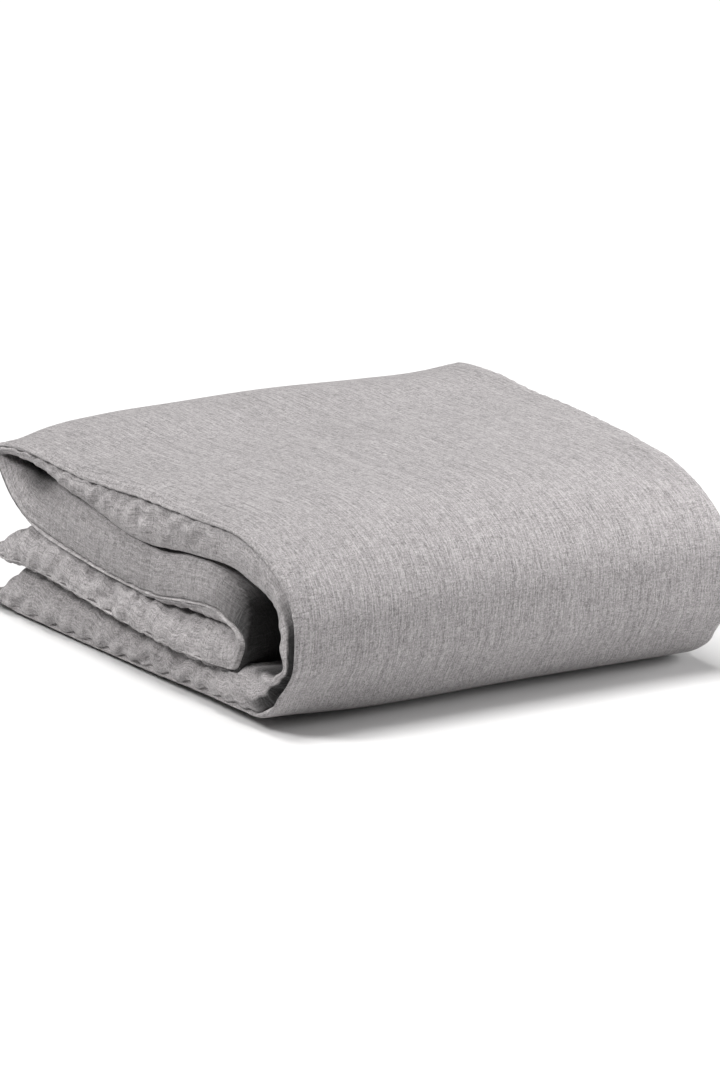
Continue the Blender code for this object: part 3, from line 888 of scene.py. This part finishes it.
def inner_pad(name, inset, material, nodes):
    """The duvet itself, or its filling: a quilted closed band that lies inside the cover."""
    ring, face_columns, middle = inset_ring(inset)
    rows, columns = ring.shape[:2]
    s, across, _ = cloth_place(ring)
    centre = np.concatenate([middle, middle[:, -2:0:-1]], axis=1)
    channel = np.abs(np.sin(math.pi * s / QUILT_PITCH))
    ring = ring + (centre - ring) * (QUILT_DEPTH * np.exp(-channel / QUILT_WIDTH))[..., None]
    faces = [list(f) for f in grid_faces(rows, columns, closed=True)]
    for row in (0, rows - 1):
        start = row * columns
        for k in range(face_columns - 1):
            opposite = [start + (columns - j) % columns for j in (k + 1, k)]
            corner = list(dict.fromkeys([start + k, start + k + 1, *opposite]))
            faces.append(corner[::-1] if row else corner)
    piece = add_mesh(name, ring, faces)
    set_cloth_place(piece, (s, across, 0 * s))
    piece.data.materials.append(material)
    bend(piece)
    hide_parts(*nodes)
    return piece


panels, grids = {}, {}
for side in ("face", "back"):
    panels[side], grids[side] = make_panel(side)
lips = [side_lip(end) for end in ("near", "far")]
head_lip = end_lip("head_end_lip", "head_end_seam", 0, 0.0024)
foot_lip = end_lip("foot_end_band", "foot_end_hem", -1, 0.0028)
inner_pad("duvet_casing", 0.003, CASING,
          [f"{layer}_casing_{side}" for layer in LAYERS for side in ("face", "back")])
inner_pad("duvet_filling", 0.0055, FILLING, [f"{layer}_filling" for layer in LAYERS])

# ---- the buttons and the ties ----------------------------------------------------------------------------

BUTTON_PLACES = (-0.14, 0.0, 0.14)
BUTTON_STATION = len(COURSE) - 3.2
THINNEST_BUTTON = 0.0026


def button_points(radius, thickness):
    """A sewn-through button as rings of points: a raised rim, a dished face and four holes."""
    turns = np.linspace(0, 2 * math.pi, 72, endpoint=False)
    share = np.concatenate([np.linspace(0.02, 0.60, 22), np.linspace(0.64, 0.99, 9)])
    share, angle = np.meshgrid(share, turns, indexing="ij")
    x, y = radius * share * np.cos(angle), radius * share * np.sin(angle)
    rim = 0.30 * hump(share, 0.84, 0.16) - 0.22 * (1 - smoothstep(0.5, 0.75, share))
    edge = 0.45 * smoothstep(0.90, 1.0, share)
    z = thickness * (0.5 + rim - edge)
    hole, spread = 0.10 * radius, 0.182 * radius
    for corner_x, corner_y in ((1, 1), (1, -1), (-1, 1), (-1, -1)):
        away = np.hypot(x - corner_x * spread, y - corner_y * spread)
        z -= thickness * 0.75 * (1 - smoothstep(0.8 * hole, 1.25 * hole, away))
    top = np.stack([x, y, z], axis=2)
    outer = top[-1:] * np.array([1 / 0.99, 1 / 0.99, 0])
    under = top[::-3] * np.array([1, 1, 0]) - np.array([0, 0, 0.42 * thickness])
    return np.concatenate([top, outer, under], axis=0)


def make_button(number, y):
    """A button on the fourth layer's upper side near its free end, lying on the cloth."""
    low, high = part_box(f"button_{number}")
    size = np.array(high) - np.array(low)
    radius, thickness = 0.5 * float(size.max()), max(THINNEST_BUTTON, float(size.min()))
    grid = grids["back"]
    row = int(np.argmin(np.abs(course["station"] - BUTTON_STATION)))
    column = int(np.argmin(np.abs(grid[row, :, 1] - y)))
    normal = Vector(outward("back", grid)[row, column])
    points = button_points(radius, thickness)
    turn = normal.to_track_quat("Z", "Y")
    place = Vector(grid[row, column]) + normal * (0.45 * thickness)
    moved = [list(place + turn @ Vector(point)) for point in points.reshape(-1, 3)]
    faces, top_end, under_end = closed_tube(points)
    piece = add_mesh(f"cover_button_{number}", moved, [*faces, top_end[::-1], under_end])
    piece.data.materials.append(BUTTON)
    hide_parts(f"button_{number}")
    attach(piece, "lower_half")
    return piece


for number, y in enumerate(BUTTON_PLACES, start=1):
    make_button(number, y)
for name, node in frame["nodes"].items():
    if "tie" in name:
        node.data.materials.clear()
        node.data.materials.append(TAPE)

# ---- stage -----------------------------------------------------------------------------------------------


# The view is close to a parallel one: from far away, with a frame about a metre high at the object.
AZIMUTH, ELEVATION = 59.0, 16.0
DISTANCE, FRAME_HEIGHT = 16.0, 1.026
AIM_RIGHT, AIM_UP = -0.0033, 0.0919
SENSOR = 36.0


def add_camera():
    azimuth, elevation = math.radians(AZIMUTH), math.radians(ELEVATION)
    right = Vector((math.cos(azimuth), math.sin(azimuth), 0))
    level = Vector((-math.sin(azimuth), math.cos(azimuth), 0))
    ahead = level * math.cos(elevation) - Vector((0, 0, math.sin(elevation)))
    aim = right * AIM_RIGHT + right.cross(ahead) * AIM_UP
    data = bpy.data.cameras.new("camera")
    data.sensor_fit = "VERTICAL"
    data.sensor_height = SENSOR
    data.lens = SENSOR * DISTANCE / FRAME_HEIGHT
    camera = bpy.data.objects.new("camera", data)
    camera.location = aim - ahead * DISTANCE
    camera.rotation_euler = (math.radians(90) - elevation, 0, azimuth)
    bpy.context.collection.objects.link(camera)
    bpy.context.scene.camera = camera


def add_sun(name, toward, strength, angle, color):
    data = bpy.data.lights.new(name, "SUN")
    data.energy, data.angle, data.color = strength, math.radians(angle), color
    light = bpy.data.objects.new(name, data)
    light.rotation_euler = Vector(toward).to_track_quat("-Z", "Y").to_euler()
    bpy.context.collection.objects.link(light)


def add_area(name, place, aim, size, power, color):
    data = bpy.data.lights.new(name, "AREA")
    data.shape = "RECTANGLE"
    data.size, data.size_y = size
    data.energy, data.color = power, color
    light = bpy.data.objects.new(name, data)
    light.location = place
    light.rotation_euler = (Vector(aim) - Vector(place)).to_track_quat("-Z", "Y").to_euler()
    bpy.context.collection.objects.link(light)


FLOOR_REACH, FLOOR_GREY = 20, 0.65
AMBIENT = 0.12
WARM = (1.0, 0.99, 0.985)


def add_stage():
    corners = [(x * FLOOR_REACH, y * FLOOR_REACH, 0) for x, y in ((-1, -1), (1, -1), (1, 1), (-1, 1))]
    floor = add_mesh("floor", corners, [(0, 1, 2, 3)])
    white = Nodes("floor_white")
    white.shader.inputs["Base Color"].default_value = (FLOOR_GREY, FLOOR_GREY, FLOOR_GREY, 1)
    white.shader.inputs["Roughness"].default_value = 0.9
    floor.data.materials.append(white.material)
    world = bpy.data.worlds.new("studio")
    bpy.context.scene.world = world
    world.use_nodes = True
    background = world.node_tree.nodes["Background"]
    background.inputs["Color"].default_value = (1, 1, 1, 1)
    background.inputs["Strength"].default_value = AMBIENT
    add_sun("overhead", (-0.10, 0.10, -1.0), 2.85, 30, (1.0, 0.995, 0.99))
    add_sun("near_side", (0.22, 0.84, -0.93), 2.65, 20, WARM)
    add_area("right", (0.95, 1.65, 0.6), (0.2, 0.2, 0.09), (1.0, 1.0), 36, (1.0, 0.99, 0.99))


add_camera()
add_stage()
bpy.context.scene.view_settings.view_transform = "Standard"
